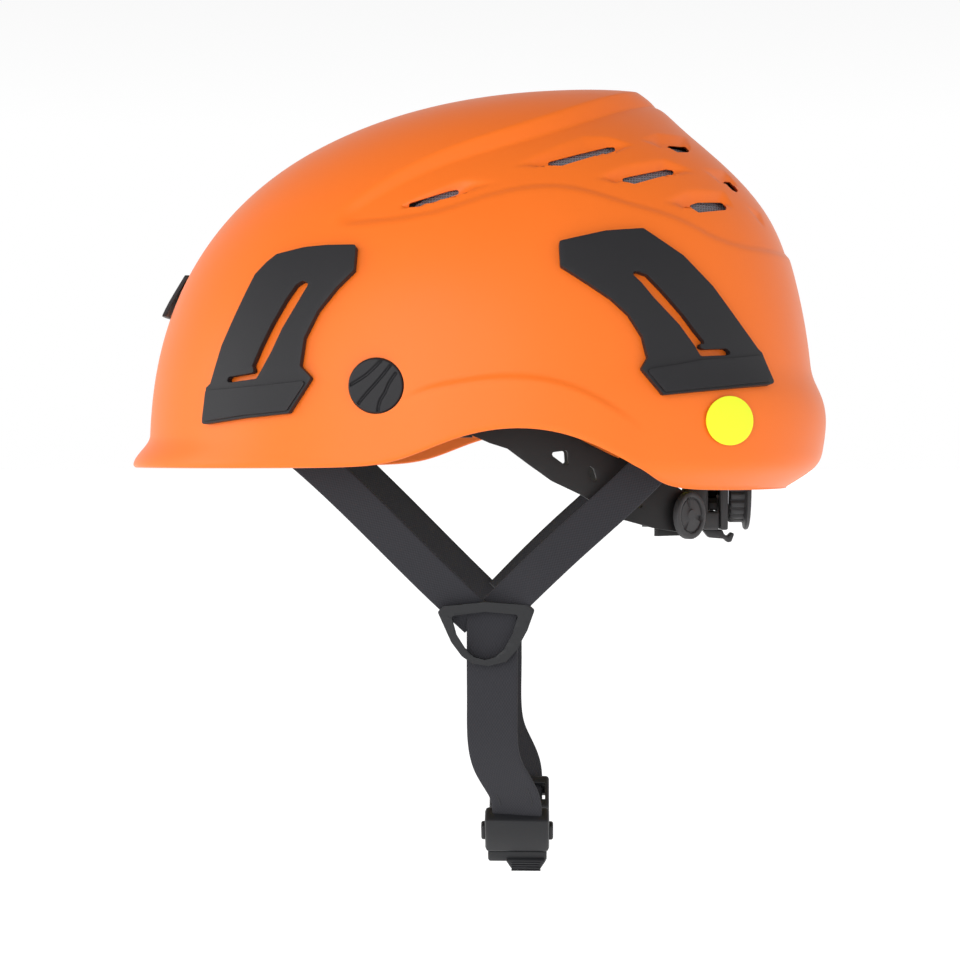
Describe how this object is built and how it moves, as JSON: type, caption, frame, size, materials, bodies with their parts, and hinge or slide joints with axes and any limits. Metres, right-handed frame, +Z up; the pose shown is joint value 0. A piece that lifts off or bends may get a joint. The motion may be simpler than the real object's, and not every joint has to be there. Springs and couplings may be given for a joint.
{
  "type": "climbing helmet",
  "caption": "Vented climbing and tree-work helmet with slotted lamp clips, sliding slip liner, ratchet fit band and chin strap with side-release buckle.",
  "frame": {"origin": "centre of the head ring, level with the front rim of the shell", "axes": "+Z up through the crown, -Y forwards over the brim, +X to the wearer's left"},
  "size_m": [0.2176, 0.2882, 0.3208],
  "materials": {
    "shell": "satin",
    "screen": "woven mesh",
    "foam": "moulded foam",
    "slip": "smooth",
    "rubber": "matt",
    "clip": "fine grain",
    "label": "printed film",
    "pad": "knit",
    "band": "satin",
    "housing": "fine grain",
    "steel": "brushed",
    "webbing": "woven",
    "buckle": "fine grain"
  },
  "bodies": {
    "helmet": {"brow_pad": "pad", "buckle_female": "buckle", "chin_strap_left": "webbing", "chin_strap_top_left": "webbing", "chin_strap_top_right": "webbing", "divider_left": "buckle", "divider_right": "buckle", "foam_liner": "foam", "forehead_clip": "clip", "headband_front": "band", "lamp_clip_front_left": "clip", "lamp_clip_front_right": "clip", "lamp_clip_rear_left": "clip", "lamp_clip_rear_right": "clip", "outer_shell": "shell", "round_label": "label", "slip_anchor_front": "rubber", "slip_anchor_left": "rubber", "slip_anchor_rear": "rubber", "slip_anchor_right": "rubber", "strap_anchor_front_left": "buckle", "strap_anchor_front_right": "buckle", "strap_anchor_rear_left": "buckle", "strap_anchor_rear_right": "buckle", "strap_front_left": "webbing", "strap_front_right": "webbing", "strap_rear_left": "webbing", "strap_rear_right": "webbing", "vent_screen_left": "screen", "vent_screen_right": "screen"},
    "temple_pins": {"temple_pin_left": "band", "temple_pin_right": "band"},
    "cradle": {"nape_housing": "housing", "nape_cover": "housing", "nape_hanger": "housing", "nape_pad": "pad", "detent_spring": "steel"},
    "knob": {"ratchet_knob": "housing", "pinion": "band"},
    "rack_left_body": {"rack_left": "band"},
    "rack_right_body": {"rack_right": "band"},
    "arm_left_body": {"arm_left": "band", "arm_pin_left": "housing"},
    "arm_right_body": {"arm_right": "band", "arm_pin_right": "housing"},
    "slip_plane": {"slip_liner": "slip", "crown_pad": "pad", "forehead_pad": "pad", "side_pad_left": "pad", "side_pad_right": "pad"},
    "plug_left": {"accessory_plug_left": "clip"},
    "plug_right": {"accessory_plug_right": "clip"},
    "chin_right": {"chin_strap_right": "webbing", "buckle_male": "buckle"},
    "adjuster": {"strap_adjuster": "buckle"},
    "prong_front_body": {"prong_front": "buckle"},
    "prong_rear_body": {"prong_rear": "buckle"}
  },
  "joints": [
    {"name": "slip_turn", "type": "hinge", "parent": "helmet", "child": "slip_plane", "pos_m": [0, 0.0075, 0.1], "axis": [0, 0, 1], "range_deg": [-3, 3], "stiffness_Nm_per_rad": 2},
    {"name": "plug_left_pull", "type": "slide", "parent": "helmet", "child": "plug_left", "axis": [1, 0, 0], "range_m": [0, 0.009]},
    {"name": "plug_right_pull", "type": "slide", "parent": "helmet", "child": "plug_right", "axis": [-1, 0, 0], "range_m": [0, 0.009]},
    {"name": "cradle_tilt", "type": "hinge", "parent": "helmet", "child": "temple_pins", "pos_m": [0, -0.005, 0.022], "axis": [1, 0, 0], "range_deg": [-5, 5]},
    {"name": "nape_draw", "type": "slide", "parent": "temple_pins", "child": "cradle", "axis": [0, -1, 0], "range_m": [0, 0.00377]},
    {"name": "knob_turn", "type": "hinge", "parent": "cradle", "child": "knob", "pos_m": [0, 0.11, -0.0083], "axis": [0, -1, 0], "range_deg": [-1, 126.01]},
    {"name": "rack_left_draw", "type": "slide", "parent": "cradle", "child": "rack_left_body", "axis": [1, 0, 0], "range_m": [-0.0127, 0.0002]},
    {"name": "rack_right_draw", "type": "slide", "parent": "cradle", "child": "rack_right_body", "axis": [-1, 0, 0], "range_m": [-0.0127, 0.0002]},
    {"name": "arm_left_swing", "type": "hinge", "parent": "temple_pins", "child": "arm_left_body", "pos_m": [0.0755, -0.005, 0.022], "axis": [0, 0, 1], "range_deg": [-0.2, 7.9]},
    {"name": "arm_right_swing", "type": "hinge", "parent": "temple_pins", "child": "arm_right_body", "pos_m": [-0.0755, -0.005, 0.022], "axis": [0, 0, -1], "range_deg": [-0.2, 7.9]},
    {"name": "chin_release", "type": "hinge", "parent": "helmet", "child": "chin_right", "pos_m": [-0.0685, 0.014, -0.077], "axis": [0, 1, 0], "range_deg": [0, 70]},
    {"name": "adjuster_slide", "type": "slide", "parent": "chin_right", "child": "adjuster", "axis": [0.736, 0, -0.6769], "range_m": [-0.002, 0.0015]},
    {"name": "prong_front_press", "type": "slide", "parent": "chin_right", "child": "prong_front_body", "axis": [0, 1, 0], "range_m": [0, 0.0016], "stiffness_N_per_m": 300},
    {"name": "prong_rear_press", "type": "slide", "parent": "chin_right", "child": "prong_rear_body", "axis": [0, -1, 0], "range_m": [0, 0.0016], "stiffness_N_per_m": 300}
  ],
  "couplings": [
    {"joint": "knob_turn", "follows": "nape_draw", "rad_per_m": 578.73},
    {"joint": "rack_left_draw", "follows": "nape_draw", "ratio": -3.183},
    {"joint": "rack_right_draw", "follows": "nape_draw", "ratio": -3.183},
    {"joint": "arm_left_swing", "follows": "nape_draw", "rad_per_m": 34.027},
    {"joint": "arm_right_swing", "follows": "nape_draw", "rad_per_m": 34.027}
  ]
}
